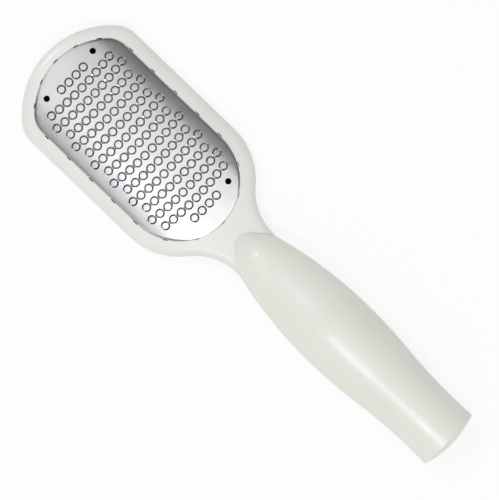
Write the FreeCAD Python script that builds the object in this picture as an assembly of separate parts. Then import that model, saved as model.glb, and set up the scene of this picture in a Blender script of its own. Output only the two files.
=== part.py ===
"""Foot file: a formed rasp plate clinched into a moulded head frame, with a two-shell grip over the tang.

Millimetres. +Z is up, on the side of the plate. +X runs from the tip of the head to the end of the grip.
The origin lies under the middle of the overall box, on the surface that the tool rests on.
"""
import FreeCAD
import Part
import math
import os

# Overall
overall_length = 240.0

# Head frame, seen from above
head_half_width = 32.2
head_tip_share = 1.217  # radius of the tip's arc, as a share of the half width
head_corner_share = 0.382
shoulder_radius = 30.5
neck_radius = 26.0
neck_half_width = 11.5
neck_reach = 123.5  # from the tip to the narrowest place of the neck
neck_stop = 1.5  # from there to the face that the grip butts against

# Head frame, seen from the side
frame_crown_radius = 100.0
frame_crest = 12.0
rim_bevel = 1.8
back_bevel = 0.8
scoop_reach = 15.5  # from the narrowest place back to where the underside of the neck starts to rise
scoop_length = 14.0

# Rasp plate
side_rim = 6.5  # rim of the frame left bare beside the plate
tip_rim = 5.75
neck_land = 19.25  # from the end of the plate to the narrowest place of the neck
plate_tip_share = 1.292  # radius of the tip's arc, as a share of the plate's half width
plate_corner_share = 0.412
plate_crest = 12.2
bend_angle = 14.5  # turn of the sheet at its two lengthwise bends
bend_share = 2.5  # bends from the middle line, as a share of the ring pitch
sheet = 0.5
plate_gap = 0.15
seat_gap = 0.05
hole_diameter = 2.8
hole_share = 0.5525  # locating holes from the middle line, as a share of the plate's half width
tip_hole_inset = 8.0
neck_hole_inset = 10.4

# Ring cutters
row_count = 15
end_row_rings = 4
full_row_rings = 10
first_row_inset = 10.15
last_row_inset = 9.67
row_bow_radius = 125.0
ring_pitch_share = 0.1732  # along a row, as a share of the plate's half width
ring_share = 0.944  # diameter of a ring, as a share of that pitch
slot_width = 0.65
slot_angle = 120.0
slot_steps = 2
disc_rise = 0.35

# Ledge under the plate and the lugs clinched round it
ledge_width = 2.6
ledge_thickness = 1.6
lug_width = 2.6
lug_foot = 1.7
lug_gap = 0.12
lug_setback = 0.1
side_lugs = 5
first_lug_inset = 2.8  # first and last lug from the ends of the plate's straight side
last_lug_inset = 1.2
tip_lugs = 5
tip_lug_angle = 18.3
neck_lugs = 5
neck_lug_angle = 29.7

# Grip, both halves turned about axes of their own off the parting plane
front_axis_drop = 4.0
back_axis_rise = 8.4
belly_half_width = 17.45
rear_half_width = 14.25
end_half_width = 14.55
belly_reach = 48.5  # from the narrowest place of the neck to the widest of the grip
rear_reach = 13.4  # from the end to the narrowest place of the grip's rear
nose_reach = 10.6  # from the narrowest place of the neck to the foot of the nose
nose_share = 0.57  # height of the nose half way along it
end_bevel = 1.8
run_steps = 3
wall = 2.2
end_wall = 4.0
fit_gap = 0.1

# Tang and the square pins through it
tang_width = 15.0
tang_thickness = 3.0
tang_end_inset = 12.0
pin_count = 3
pin_width = 3.0
pin_gap = 0.15
pin_reach = 5.0
socket_room = 0.5
boss_width = 6.0
pin_inset = 22.0  # first and last pin from the ends of the tang

overrun = 5.0  # how far cutting tools reach past what they cut

# Places that follow from those sizes
tip_x = -overall_length / 2
end_x = overall_length / 2
narrow_x = tip_x + neck_reach
stop_x = narrow_x + neck_stop
nose_x = narrow_x - nose_reach
belly_x = narrow_x + belly_reach
rear_x = end_x - rear_reach
head_tip_radius = head_tip_share * head_half_width
head_corner_radius = head_corner_share * head_half_width
plate_half_width = head_half_width - side_rim
plate_tip_radius = plate_tip_share * plate_half_width
plate_corner_radius = plate_corner_share * plate_half_width
plate_tip_x = tip_x + tip_rim
plate_end_x = narrow_x - neck_land
plate_neck_x = plate_end_x - plate_half_width
hole_offset = hole_share * plate_half_width
first_row_x = plate_tip_x + first_row_inset
row_pitch = (plate_end_x - last_row_inset - first_row_x) / (row_count - 1)
ring_pitch = ring_pitch_share * plate_half_width
bend_y = bend_share * ring_pitch
bend_slope = math.radians(bend_angle)
ring_radius = ring_share * ring_pitch / 2
disc_radius = ring_radius - slot_width
tang_end_x = end_x - tang_end_inset
parting_height = math.hypot(belly_half_width, back_axis_rise) - back_axis_rise
neck_underside = parting_height + back_axis_rise - math.hypot(neck_half_width, back_axis_rise)
tang_low = parting_height - tang_thickness / 2

UP = FreeCAD.Vector(0, 0, 1)
ALONG = FreeCAD.Vector(1, 0, 0)
ORIGIN = FreeCAD.Vector(0, 0, 0)


def point(x, y, z=0.0):
    return FreeCAD.Vector(x, y, z)


def polar(centre_x, centre_y, radius, degrees):
    """Point of a circle in plan."""
    angle = math.radians(degrees)
    return point(centre_x + radius * math.cos(angle), centre_y + radius * math.sin(angle))


def run_edge(places):
    """Straight edge through two points, or arc through three."""
    curve = Part.Arc(*places) if len(places) > 2 else Part.LineSegment(*places)
    return curve.toShape()


def symmetric_face(runs):
    """Flat face from the runs of one side, tip to far end, and their mirror images."""
    edges = []
    for run in runs:
        for side in (1, -1):
            edges.append(run_edge([point(p.x, side * p.y) for p in run]))
    return Part.Face(Part.Wire(Part.__sortEdges__(edges)))


def tip_runs(front_x, tip_radius, corner_radius, half_width):
    """Arcs of a blunt tip, from the middle line to where the straight side starts."""
    centre_x = front_x + tip_radius
    corner_y = half_width - corner_radius
    corner_x = centre_x - math.sqrt((tip_radius - corner_radius) ** 2 - corner_y ** 2)
    meet = math.degrees(math.atan2(corner_y, corner_x - centre_x))
    tip = [polar(centre_x, 0, tip_radius, angle) for angle in (180, (180 + meet) / 2, meet)]
    corner = [polar(corner_x, corner_y, corner_radius, angle) for angle in (meet, (meet + 90) / 2, 90)]
    return [tip, corner]


def head_face(grow):
    """Outline of the head and neck, grown all round by a clearance."""
    half_width = head_half_width + grow
    narrow = neck_half_width + grow
    shoulder = shoulder_radius + grow
    inner = neck_radius - grow
    turn = math.degrees(math.acos(1 - (half_width - narrow) / (shoulder + inner)))
    shoulder_x = narrow_x - (shoulder + inner) * math.sin(math.radians(turn))
    runs = tip_runs(tip_x - grow, head_tip_radius + grow, head_corner_radius + grow, half_width)
    runs.append([runs[-1][-1], point(shoulder_x, half_width)])
    angles = (90, 90 - turn / 2, 90 - turn)
    runs.append([polar(shoulder_x, half_width - shoulder, shoulder, angle) for angle in angles])
    angles = (270 - turn, 270 - turn / 2, 270)
    runs.append([polar(narrow_x, narrow + inner, inner, angle) for angle in angles])
    runs.append([runs[-1][-1], point(stop_x + grow, narrow)])
    runs.append([point(stop_x + grow, narrow), point(stop_x + grow, 0)])
    return symmetric_face(runs)


def plate_face(grow):
    """Outline of the rasp plate, grown or drawn in all round."""
    half_width = plate_half_width + grow
    runs = tip_runs(plate_tip_x - grow, plate_tip_radius + grow, plate_corner_radius + grow, half_width)
    runs.append([runs[-1][-1], point(plate_neck_x, half_width)])
    runs.append([polar(plate_neck_x, 0, half_width, angle) for angle in (90, 45, 0)])
    return symmetric_face(runs)


def column(face, low, high):
    """Solid that stands on a plan outline between two heights."""
    return face.translated(UP * low).extrude(UP * (high - low))


def box(x, y, z):
    """Block between pairs of places along each axis."""
    return Part.makeBox(x[1] - x[0], y[1] - y[0], z[1] - z[0], point(x[0], y[0], z[0]))


def plate_height(y, drop):
    """Height of the formed sheet's top at a distance from the middle line, or of a layer that far below it."""
    level = plate_crest - drop
    sloped = plate_crest - (abs(y) - bend_y) * math.tan(bend_slope) - drop / math.cos(bend_slope)
    return min(level, sloped)


def formed(drop):
    """Bar along X whose top is the formed sheet's top, lowered square to its panels."""
    inner_y = bend_y - drop * math.tan(bend_slope / 2)
    side = [(inner_y, plate_crest - drop), (head_half_width, plate_height(head_half_width, drop))]
    side.append((head_half_width, -overrun))
    corners = [point(tip_x, y, z) for y, z in side]
    corners += [point(tip_x, -y, z) for y, z in reversed(side)]
    return Part.Face(Part.makePolygon(corners + corners[:1])).extrude(ALONG * overall_length)


def runs_round(edge, low, high):
    """True where an edge stays between two heights and runs round the outline, not across the stop face."""
    bounds = edge.BoundBox
    across = bounds.XLength < seat_gap and bounds.XMax > narrow_x
    return low <= bounds.ZMin and bounds.ZMax <= high and not across


def head_blank(grow):
    """Crowned slab of the head and neck with bevelled edges, grown all round by a clearance."""
    crest = frame_crest + grow
    radius = frame_crown_radius + grow
    bar = Part.makeCylinder(radius, 2 * overall_length, point(-overall_length, 0, crest - radius), ALONG)
    slab = column(head_face(grow), -grow, crest + overrun).common(bar)
    side_height = crest - radius + math.sqrt(radius ** 2 - (head_half_width + grow) ** 2)
    top = [e for e in slab.Edges if runs_round(e, side_height - seat_gap, crest + seat_gap)]
    low = [e for e in slab.Edges if runs_round(e, -grow - seat_gap, -grow + seat_gap)]
    return slab.makeChamfer(rim_bevel, top).makeChamfer(back_bevel, low).cut(neck_scoop(grow))


def neck_scoop(grow):
    """Space under the neck: its underside rises in two even arcs from the back of the head."""
    start = point(narrow_x - scoop_reach, 0, -grow)
    finish = point(start.x + scoop_length, 0, neck_underside - grow)
    middle = (start + finish) / 2
    radius = (scoop_length ** 2 + neck_underside ** 2) / (4 * neck_underside)
    half_turn = math.asin(scoop_length / (2 * radius)) / 2
    sag = point(radius * math.sin(half_turn), 0, radius * (1 - math.cos(half_turn)))
    far = point(stop_x + overrun, 0, finish.z)
    deep = point(far.x, 0, start.z - overrun)
    back = point(start.x, 0, deep.z)
    runs = [[start, start + sag, middle], [middle, finish - sag, finish]]
    runs += [[finish, far], [far, deep], [deep, back], [back, start]]
    profile = Part.Face(Part.Wire([run_edge(run) for run in runs]))
    reach = head_half_width + overrun
    return profile.translated(point(0, -reach)).extrude(point(0, 2 * reach))


def lug_places():
    """Places of the lugs on the plate's outline: x, y and the direction outwards in degrees."""
    places = []
    corner = tip_runs(plate_tip_x, plate_tip_radius, plate_corner_radius, plate_half_width)[-1]
    first = corner[-1].x + first_lug_inset
    pitch = (plate_neck_x - last_lug_inset - first) / (side_lugs - 1)
    for i in range(side_lugs):
        x = first + i * pitch
        places += [(x, plate_half_width, 90), (x, -plate_half_width, 270)]
    for i in range(tip_lugs):
        angle = 180 + (i - (tip_lugs - 1) / 2) * tip_lug_angle
        spot = polar(plate_tip_x + plate_tip_radius, 0, plate_tip_radius, angle)
        places.append((spot.x, spot.y, angle))
    for i in range(neck_lugs):
        angle = (i - (neck_lugs - 1) / 2) * neck_lug_angle
        spot = polar(plate_neck_x, 0, plate_half_width, angle)
        places.append((spot.x, spot.y, angle))
    return places


def set_at_edge(shape, place):
    """Turn a shape made with +X pointing outwards to its place on the plate's outline."""
    x, y, angle = place
    shape.rotate(ORIGIN, UP, angle)
    shape.translate(point(x, y))
    return shape


def lug_slot(place):
    """Slot through the ledge for one lug, with a shallow notch in the wall beside it."""
    depth = sheet + lug_setback + lug_gap
    half = lug_width / 2 + lug_gap
    top = plate_height(max(abs(place[1]) - half, 0), sheet + seat_gap)
    return set_at_edge(box((-depth, plate_gap + lug_gap), (-half, half), (0, top)), place)


def lug(place):
    """One bent lug: a leg down through the ledge and a foot folded inwards under it."""
    reach = min(abs(place[1]) + lug_width / 2, plate_half_width)
    top = plate_height(reach, sheet + seat_gap + ledge_thickness) - lug_gap
    across = (-lug_width / 2, lug_width / 2)
    leg = box((-lug_setback - sheet, -lug_setback), across, (top - sheet, frame_crest))
    foot = box((-lug_setback - lug_foot, -lug_setback), across, (top - sheet, top))
    return set_at_edge(leg.fuse(foot), place).common(formed(sheet / 2))


def ring_places():
    """Centres of the ring cutters: x, and the distance from the middle line along the sheet."""
    places = []
    for row in range(row_count):
        full = full_row_rings - row % 2
        count = end_row_rings if row in (0, row_count - 1) else full
        for i in range(count):
            along = (i - (count - 1) / 2) * ring_pitch
            bow = row_bow_radius - math.sqrt(row_bow_radius ** 2 - along ** 2)
            places.append((first_row_x + row * row_pitch - bow, along))
    return places


def set_on_sheet(shape, place):
    """Copy of a shape made about Z at the sheet's surface, set square on its panel or across a bend."""
    x, along = place
    past = max(abs(along) - bend_y, 0)
    side = math.copysign(1, along)
    if past > seat_gap:
        tilt = bend_angle
    else:
        tilt = bend_angle / 2 if abs(along) > bend_y - seat_gap else 0
    y = abs(along) - past * (1 - math.cos(bend_slope))
    copy = shape.copy()
    copy.rotate(ORIGIN, ALONG, -side * tilt)
    copy.translate(point(x, side * y, plate_crest - past * math.sin(bend_slope)))
    return copy


def slot_angles(facing):
    """Corner directions along one slot of a ring, in degrees."""
    step = slot_angle / slot_steps
    return [facing - slot_angle / 2 + i * step for i in range(slot_steps + 1)]


def prism(corners, low, high):
    """Upright prism on a closed ring of corners."""
    return column(Part.Face(Part.makePolygon(corners + corners[:1])), low, high)


def ring_slot(facing):
    """Cutting tool of one slot of a ring."""
    outer = [polar(0, 0, ring_radius, angle) for angle in slot_angles(facing)]
    inner = [polar(0, 0, disc_radius, angle) for angle in reversed(slot_angles(facing))]
    return prism(outer + inner, -2 * sheet, 2 * disc_rise)


def hole_places():
    """Two locating holes at the tip and one at the neck."""
    tip = plate_tip_x + tip_hole_inset
    return [(tip, hole_offset), (tip, -hole_offset), (plate_end_x - neck_hole_inset, hole_offset)]


def rasp_plate():
    """Formed sheet with its lugs, raised cutter discs, slots and locating holes."""
    plate = column(plate_face(0), 0, frame_crest + overrun).common(formed(0)).cut(formed(sheet))
    plate = plate.multiFuse([lug(place) for place in lug_places()])
    around = slot_angles(0) + slot_angles(180)
    disc = prism([polar(0, 0, disc_radius, angle) for angle in around], -sheet / 2, disc_rise)
    places = ring_places()
    plate = plate.multiFuse([set_on_sheet(disc, place) for place in places])
    tools = [set_on_sheet(ring_slot(facing), place) for place in places for facing in (0, 180)]
    for x, y in hole_places():
        tools.append(Part.makeCylinder(hole_diameter / 2, frame_crest + overrun, point(x, y)))
    return plate.cut(tools).removeSplitter()


def pin_places():
    """Places of the pins along the tang."""
    first = stop_x + pin_inset
    last = tang_end_x - pin_inset
    return [first + i * (last - first) / (pin_count - 1) for i in range(pin_count)]


def square_posts(width, low, high):
    """Square posts at the places of the pins."""
    half = width / 2
    return [box((x - half, x + half), (-half, half), (low, high)) for x in pin_places()]


def tang(grow):
    """Flat bar inside the grip, grown all round by a clearance; it starts inside the neck."""
    half = tang_width / 2 + grow
    heights = (tang_low - grow, tang_low + tang_thickness + grow)
    return box((narrow_x, tang_end_x + grow), (-half, half), heights)


def head_frame():
    """Ring with its ledge and lug slots, the neck and the tang."""
    recess = column(plate_face(plate_gap), -overrun, frame_crest + overrun)
    opening = column(plate_face(-ledge_width), -overrun, frame_crest + overrun)
    above = recess.cut(formed(sheet + seat_gap))
    below = recess.common(formed(sheet + seat_gap + ledge_thickness))
    frame = head_blank(0).cut([above, below, opening] + [lug_slot(place) for place in lug_places()])
    bar = tang(0).cut(square_posts(pin_width + 2 * pin_gap, 0, frame_crest + overrun))
    return frame.fuse(bar).removeSplitter()


def eased(start, finish, lead_share):
    """Points of a parabola from one place to another, after the start; the share is its rise half way along."""
    points = []
    for i in range(1, run_steps + 1):
        share = i / run_steps
        rise = share * (4 * lead_share - 1) + share ** 2 * (2 - 4 * lead_share)
        points.append((start[0] + (finish[0] - start[0]) * share, start[1] + (finish[1] - start[1]) * rise))
    return points


def side_points():
    """Side of the grip in plan after the stop: x and half width, out to the belly and in to the rear."""
    early_share = 0.75
    late_share = 1 - early_share
    belly = (belly_x, belly_half_width)
    middle = ((belly_x + rear_x) / 2, (belly_half_width + rear_half_width) / 2)
    rear = (rear_x, rear_half_width)
    points = eased((stop_x, neck_half_width), belly, early_share)
    points += eased(belly, middle, late_share)
    points += eased(middle, rear, early_share)
    points.append((end_x - end_bevel, end_half_width))
    return points


def turned(axis_z, lead, offset):
    """Half a turned body about an axis along X, from leading points of x and radius and the grip's sides."""
    points = lead + [(x, math.hypot(y, offset)) for x, y in side_points()]
    last = points[-1][1]
    points += [(end_x, last - end_bevel), (end_x, 0), (points[0][0], 0)]
    corners = [point(x, 0, axis_z + radius) for x, radius in points]
    profile = Part.Face(Part.makePolygon(corners + corners[:1]))
    return profile.revolve(point(0, 0, axis_z), ALONG, 180)


def core(radius):
    """Round core of a grip half, as long as the wall round it allows."""
    rise = (belly_half_width - rear_half_width) / (belly_half_width - neck_half_width)
    start = belly_x - (belly_x - stop_x) * math.sqrt(rise)
    return Part.makeCylinder(radius, end_x - end_wall - start, point(start, 0, parting_height), ALONG)


def grip_front():
    """Front shell with its nose over the neck, cored out, with sockets for the pins."""
    axis_z = parting_height - front_axis_drop
    foot = (nose_x, frame_crest - axis_z)
    shoulder = (stop_x, math.hypot(neck_half_width, front_axis_drop))
    body = turned(axis_z, [foot] + eased(foot, shoulder, nose_share), front_axis_drop)
    body.rotate(point(0, 0, axis_z), ALONG, -90)
    reach = belly_half_width + overrun
    body = body.common(box((tip_x, end_x + overrun), (-reach, reach), (parting_height, 2 * reach)))
    hollow = math.hypot(rear_half_width, front_axis_drop) - front_axis_drop - wall
    body = body.cut([core(hollow), head_blank(fit_gap), tang(fit_gap)])
    seat = tang_low + tang_thickness + fit_gap
    body = body.multiFuse(square_posts(boss_width, seat, parting_height + hollow + wall / 2))
    return body.cut(square_posts(pin_width + 2 * fit_gap, 0, seat + pin_reach + socket_room)).removeSplitter()


def grip_back():
    """Back shell, cored out, with stepped pins that pass through the tang."""
    axis_z = parting_height + back_axis_rise
    shoulder = (stop_x, math.hypot(neck_half_width, back_axis_rise))
    body = turned(axis_z, [shoulder], back_axis_rise)
    body.rotate(point(0, 0, axis_z), ALONG, 90)
    reach = belly_half_width + overrun
    body = body.common(box((stop_x + fit_gap, end_x + overrun), (-reach, reach), (-reach, parting_height)))
    hollow = math.hypot(rear_half_width, back_axis_rise) - back_axis_rise - wall
    body = body.cut([core(hollow), tang(fit_gap)])
    seat = tang_low - fit_gap
    posts = square_posts(boss_width, parting_height - hollow - wall / 2, seat)
    posts += square_posts(pin_width, parting_height - hollow, tang_low + tang_thickness + fit_gap + pin_reach)
    return body.multiFuse(posts).removeSplitter()


os.makedirs("parts", exist_ok=True)
for make in (head_frame, rasp_plate, grip_front, grip_back):
    shape = make()
    shape.exportStep("parts/" + make.__name__ + ".step")
    print(make.__name__, "solids", len(shape.Solids), "valid", shape.isValid(), "volume", round(shape.Volume))
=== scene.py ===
"""Foot file: smooth white mouldings and a perforated steel plate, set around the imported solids.

Sizes are millimetres in the part's own frame: +X from the tip of the head to the end of the grip,
+Z up on the side of the plate. Meshes, lamps and the stage are written in metres.
"""
from __future__ import annotations

import logging
import math
from dataclasses import dataclass
from enum import Enum
from typing import Any, Optional, Sequence, Union

import bmesh
import bpy
import numpy as np
from mathutils import Matrix, Vector
from mathutils.geometry import delaunay_2d_cdt

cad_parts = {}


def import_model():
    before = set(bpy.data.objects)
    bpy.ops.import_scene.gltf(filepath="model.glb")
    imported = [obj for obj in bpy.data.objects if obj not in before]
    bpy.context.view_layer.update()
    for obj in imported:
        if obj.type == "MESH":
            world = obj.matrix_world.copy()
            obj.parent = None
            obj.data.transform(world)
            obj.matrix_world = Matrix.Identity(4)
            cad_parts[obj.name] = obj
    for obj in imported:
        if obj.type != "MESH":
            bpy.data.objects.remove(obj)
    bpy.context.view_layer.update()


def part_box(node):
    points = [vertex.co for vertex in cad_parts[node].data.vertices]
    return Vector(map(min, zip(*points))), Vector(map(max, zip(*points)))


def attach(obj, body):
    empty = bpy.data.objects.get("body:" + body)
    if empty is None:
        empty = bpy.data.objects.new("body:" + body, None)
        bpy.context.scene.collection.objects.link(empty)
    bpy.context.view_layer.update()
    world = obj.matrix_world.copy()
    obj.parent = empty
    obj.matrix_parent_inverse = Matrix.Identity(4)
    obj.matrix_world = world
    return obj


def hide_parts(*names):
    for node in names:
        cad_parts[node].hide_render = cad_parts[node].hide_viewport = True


LOG = logging.getLogger("foot_file")
MM = 0.001
IMAGE_HEIGHT = 500
BODY = "root"
MERGE_DISTANCE = 1e-7
FILL_TOLERANCE = 1e-7
TRIANGLES_INSIDE = 1
QUARTER = math.pi / 2
NOISE_MIDDLE = 0.5

Array = np.ndarray
Colour = tuple[float, float, float]
Row = tuple[Array, Array]  # Plan and height of a row of points

WHITE: Colour = (1.0, 1.0, 1.0)


class Solid(Enum):
    """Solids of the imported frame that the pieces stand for."""

    HEAD_FRAME = "head_frame"
    RASP_PLATE = "rasp_plate"
    GRIP_FRONT = "grip_front"
    GRIP_BACK = "grip_back"


class Slot(Enum):
    """Material slots of the record."""

    FRAME = "frame_plastic"
    GRIP = "grip_plastic"
    STEEL = "rasp_steel"


class Side(Enum):
    """Halves of the grip: the direction in which each stands off the parting plane."""

    FRONT = 1.0
    BACK = -1.0


# Curves and grids


def mix(first: Array, second: Array, share: Union[float, Array]) -> Array:
    """Straight line from one array to another, at a share of the way."""
    return first * (1 - share) + second * share


def ease(start: float, finish: float, x: Array) -> Array:
    """Smooth step: 0 before start, 1 after finish, 3 t squared minus 2 t cubed between."""
    t = np.clip((x - start) / (finish - start), 0.0, 1.0)
    return t * t * (3 - 2 * t)


def crown(y: Array, crest: float, radius: float) -> Array:
    """Crowned height: the crest less the fall of a circle at a distance off the middle line."""
    return crest - radius + np.sqrt(radius ** 2 - y ** 2)


def nearest(points: Array, targets: Array) -> tuple[Array, Array]:
    """Distance of each point from its nearest target, and that target's number."""
    away = np.linalg.norm(points[:, None] - targets[None], axis=2)
    return away.min(axis=1), away.argmin(axis=1)


@dataclass(frozen=True)
class Path:
    """Points of a curve in plan, with the outward direction at each."""

    points: Array
    normals: Array

    def offset(self, distance: Union[float, Array]) -> Array:
        """Points moved outwards by a distance, one for all or one for each."""
        return self.points + self.normals * np.reshape(distance, (-1, 1))

    def looped(self) -> Path:
        """Close a half that starts and ends on the middle line: the half, then its mirror back.

        Returns:
            The closed curve.
        """
        flip = np.array([1.0, -1.0])
        points = np.concatenate([self.points, self.points[-2:0:-1] * flip])
        normals = np.concatenate([self.normals, self.normals[-2:0:-1] * flip])
        return Path(points, normals)


def join(*paths: Path) -> Path:
    """One path from several in order."""
    return Path(np.concatenate([path.points for path in paths]),
                np.concatenate([path.normals for path in paths]))


def arc(centre: Sequence[float], radius: float, start: float, finish: float, count: int,
        hollow: bool = False, closed: bool = False) -> Path:
    """Circle's stretch: centre plus radius times (cos a, sin a), with a in even steps.

    Args:
        centre: Centre in plan.
        radius: Radius.
        start: First angle in degrees.
        finish: Last angle in degrees.
        count: Number of points.
        hollow: True where the outward direction is towards the centre.
        closed: True to include the last angle.

    Returns:
        The stretch as a path.
    """
    angle = np.radians(np.linspace(start, finish, count, endpoint=closed))
    direction = np.stack([np.cos(angle), np.sin(angle)], axis=1)
    return Path(np.asarray(centre) + radius * direction, -direction if hollow else direction)


def line(start: Sequence[float], finish: Sequence[float], normal: Sequence[float], count: int,
         closed: bool = False) -> Path:
    """Straight stretch in even steps with one outward direction.

    Args:
        start: First point.
        finish: Last point.
        normal: Outward direction.
        count: Number of points.
        closed: True to include the last point.

    Returns:
        The stretch as a path.
    """
    share = np.linspace(0.0, 1.0, count, endpoint=closed)[:, None]
    points = mix(np.asarray(start), np.asarray(finish), share)
    return Path(points, np.tile(np.asarray(normal, float), (count, 1)))


@dataclass(frozen=True)
class BluntTip:
    """Half a blunt tip: an arc across the middle line, then a tighter one that turns into the side.

    The tighter arc touches the first from inside, so the centres lie the radii's difference apart.
    """

    front_x: float
    tip_radius: float
    corner_radius: float
    half_width: float

    @property
    def centre_x(self) -> float:
        """Centre of the arc across the middle line."""
        return self.front_x + self.tip_radius

    @property
    def corner_y(self) -> float:
        """Distance of the tighter arc's centre from the middle line."""
        return self.half_width - self.corner_radius

    @property
    def side_x(self) -> float:
        """Start of the straight side, level with the tighter arc's centre."""
        apart = self.tip_radius - self.corner_radius
        return self.centre_x - math.sqrt(apart ** 2 - self.corner_y ** 2)

    def path(self, counts: Sequence[int]) -> Path:
        """Follow both arcs from the middle line to the side.

        Args:
            counts: Points on the two arcs.

        Returns:
            The path, short of the side's first point.
        """
        tip_count, corner_count = counts
        meet = math.degrees(math.atan2(self.corner_y, self.side_x - self.centre_x))
        tip = arc((self.centre_x, 0.0), self.tip_radius, 180.0, meet, tip_count)
        corner = arc((self.side_x, self.corner_y), self.corner_radius, meet, 90.0, corner_count)
        return join(tip, corner)


def grid_faces(rows: int, columns: int, close_rows: bool = False) -> Array:
    """Quads of a grid with closed columns: vertex (i, j) has the number i times columns plus j.

    Args:
        rows: Rows of the grid.
        columns: Columns of the grid; the last is joined to the first.
        close_rows: True to join the last row to the first.

    Returns:
        An array of four vertex numbers per quad, row by row.
    """
    here = np.arange(rows * columns).reshape(rows, columns)
    below = np.roll(here, -1, axis=0)
    quads = np.stack([here, below, np.roll(below, -1, axis=1), np.roll(here, -1, axis=1)], axis=2)
    return quads[:rows if close_rows else rows - 1].reshape(-1, 4)


def new_object(name: str, data: bpy.types.ID) -> bpy.types.Object:
    """Put an object into the scene, at the origin.

    Args:
        name: Its name.
        data: Its mesh, lamp or camera.

    Returns:
        The object.
    """
    thing = bpy.data.objects.new(name, data)
    bpy.context.scene.collection.objects.link(thing)
    return thing


@dataclass
class Surface:
    """Vertices in millimetres and faces of a piece in the making."""

    points: Array
    faces: list[list[int]]

    @classmethod
    def from_grid(cls, grid: Array) -> Surface:
        """Surface of points in rows and closed columns."""
        return cls(grid.reshape(-1, 3), grid_faces(*grid.shape[:2]).tolist())

    def add(self, other: Surface) -> None:
        """Take in another surface as a shell of its own.

        Args:
            other: The surface, all of whose faces are quads.
        """
        start = len(self.points)
        self.points = np.concatenate([self.points, other.points])
        self.faces += (np.array(other.faces) + start).tolist()

    def to_piece(self, name: str, material: bpy.types.Material, slot: Slot, solid: Solid,
                 crisp_angle: float) -> bpy.types.Object:
        """Write the mesh, close its poles, turn its faces outwards, and let it stand for a solid.

        Args:
            name: Name of the piece.
            material: Its finish.
            slot: Slot of the record; not used.
            solid: Solid that it stands for.
            crisp_angle: Turn in degrees past which an edge stays crisp.

        Returns:
            The object.
        """
        mesh = bpy.data.meshes.new(name)
        mesh.from_pydata((self.points * MM).tolist(), [], self.faces)
        work = bmesh.new()
        work.from_mesh(mesh)
        bmesh.ops.remove_doubles(work, verts=work.verts, dist=MERGE_DISTANCE)
        bmesh.ops.recalc_face_normals(work, faces=work.faces)
        work.to_mesh(mesh)
        work.free()
        mesh.shade_smooth()
        mesh.set_sharp_from_angle(angle=math.radians(crisp_angle))
        mesh.materials.append(material)
        piece = new_object(name, mesh)
        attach(piece, BODY)
        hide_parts(solid.value)
        return piece


# Finishes

Input = Union["Value", bpy.types.NodeSocket, float, Sequence[float]]
Inputs = dict[Union[str, int], Input]


class Nodes:
    """Node tree of a material or of the world, being written."""

    def __init__(self, owner: Union[bpy.types.Material, bpy.types.World]) -> None:
        """Start from an empty tree.

        Args:
            owner: Material or world.
        """
        owner.use_nodes = True
        self.tree = owner.node_tree
        self.tree.nodes.clear()

    def add(self, kind: str, settings: Optional[dict[str, Any]] = None,
            inputs: Optional[Inputs] = None) -> bpy.types.Node:
        """Make a node.

        Args:
            kind: Blender's type name of the node.
            settings: Properties to set first.
            inputs: Values or links of its sockets, by name or number.

        Returns:
            The node.
        """
        node = self.tree.nodes.new(kind)
        for key, value in (settings or {}).items():
            setattr(node, key, value)
        for key, value in (inputs or {}).items():
            socket = node.inputs[key]
            if isinstance(value, Value):
                self.tree.links.new(value.socket, socket)
            elif isinstance(value, bpy.types.NodeSocket):
                self.tree.links.new(value, socket)
            else:
                socket.default_value = value
        return node

    def value(self, kind: str, output: Union[str, int] = 0,
              settings: Optional[dict[str, Any]] = None,
              inputs: Optional[Inputs] = None) -> Value:
        """Make a node and wrap one of its outputs."""
        return Value(self, self.add(kind, settings, inputs).outputs[output])

    def blend(self, share: Input, first: Colour, second: Colour) -> Value:
        """Colour between two colours, by the colour sockets of a Mix node."""
        colours = {0: share, 6: rgba(first), 7: rgba(second)}
        return self.value("ShaderNodeMix", 2, {"data_type": "RGBA"}, colours)

    def bump(self, height: Input, depth: float, strength: float) -> Value:
        """Normal that follows a height."""
        inputs = {"Strength": strength, "Distance": depth, "Height": height}
        return self.value("ShaderNodeBump", 0, None, inputs)

    def surface(self, shader: bpy.types.Node, kind: str = "ShaderNodeOutputMaterial") -> None:
        """End the tree with a shader."""
        self.add(kind, None, {"Surface": shader.outputs[0]})


class Value:
    """A socket's number, on which sums are written as plain expressions."""

    def __init__(self, nodes: Nodes, socket: bpy.types.NodeSocket) -> None:
        """Wrap a socket."""
        self.nodes = nodes
        self.socket = socket

    def _math(self, operation: str, first: Input, second: Input) -> Value:
        """Add a Math node."""
        settings = {"operation": operation}
        return self.nodes.value("ShaderNodeMath", 0, settings, {0: first, 1: second})

    def __add__(self, other: Input) -> Value:
        """This plus other."""
        return self._math("ADD", self, other)

    __radd__ = __add__

    def __sub__(self, other: Input) -> Value:
        """This minus other."""
        return self._math("SUBTRACT", self, other)

    def __rsub__(self, other: Input) -> Value:
        """Other minus this."""
        return self._math("SUBTRACT", other, self)

    def __mul__(self, other: Input) -> Value:
        """This times other."""
        return self._math("MULTIPLY", self, other)

    __rmul__ = __mul__

    def clamped(self, low: float, high: float) -> Value:
        """This kept between two numbers."""
        return self._math("MINIMUM", self._math("MAXIMUM", self, low), high)


def rgba(colour: Colour) -> tuple[float, float, float, float]:
    """Colour with full cover."""
    return (*colour, 1.0)


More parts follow.
